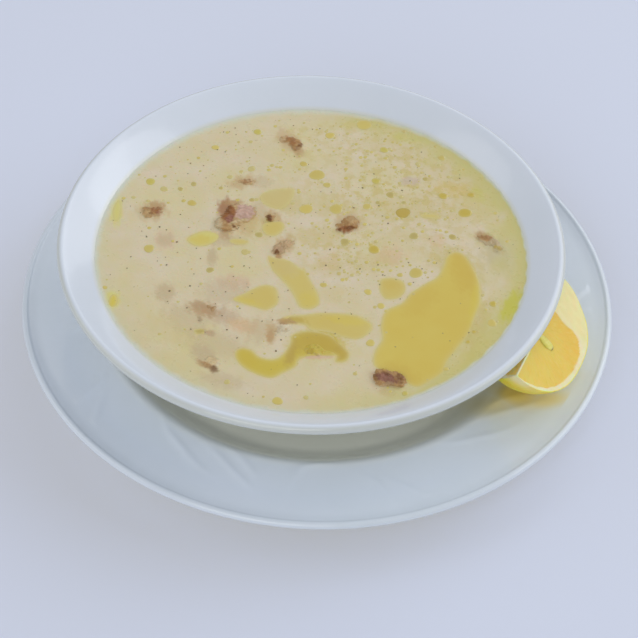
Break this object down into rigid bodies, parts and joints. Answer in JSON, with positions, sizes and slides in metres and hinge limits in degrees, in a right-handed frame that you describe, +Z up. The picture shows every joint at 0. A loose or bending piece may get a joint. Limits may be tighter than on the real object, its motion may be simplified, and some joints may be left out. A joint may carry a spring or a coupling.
{
  "type": "bowl of tripe soup",
  "caption": "Shallow porcelain bowl of pale tripe soup with browned tripe and pools of oil, on an underplate with a lemon wedge on its rim.",
  "frame": {"origin": "on the table, under the middle of the plate", "axes": "+Z up from the table; -Y towards the diner; +X to the diner's right, where the lemon wedge lies"},
  "size_m": [0.254, 0.254, 0.0566],
  "materials": {
    "plate_porcelain": "glossy clear glaze over white porcelain",
    "bowl_porcelain": "glossy clear glaze over white porcelain",
    "soup": "opaque creamy broth with a wet surface",
    "tripe": "wet browned offal, softly wrinkled",
    "lemon": "waxy rind, white pith and wet pulp",
    "oil": "clear yellow oil lying in thin pools",
    "pepper": "coarsely ground dark flakes"
  },
  "bodies": {
    "root": {"plate": "plate_porcelain", "bowl": "bowl_porcelain", "soup": "soup", "tripe_01": "tripe", "tripe_02": "tripe", "tripe_03": "tripe", "tripe_04": "tripe", "tripe_05": "tripe", "tripe_06": "tripe", "tripe_07": "tripe", "tripe_08": "tripe", "tripe_09": "tripe", "tripe_10": "tripe", "tripe_11": "tripe", "tripe_12": "tripe", "tripe_13": "tripe", "lemon_wedge": "lemon"}
  },
  "joints": []
}
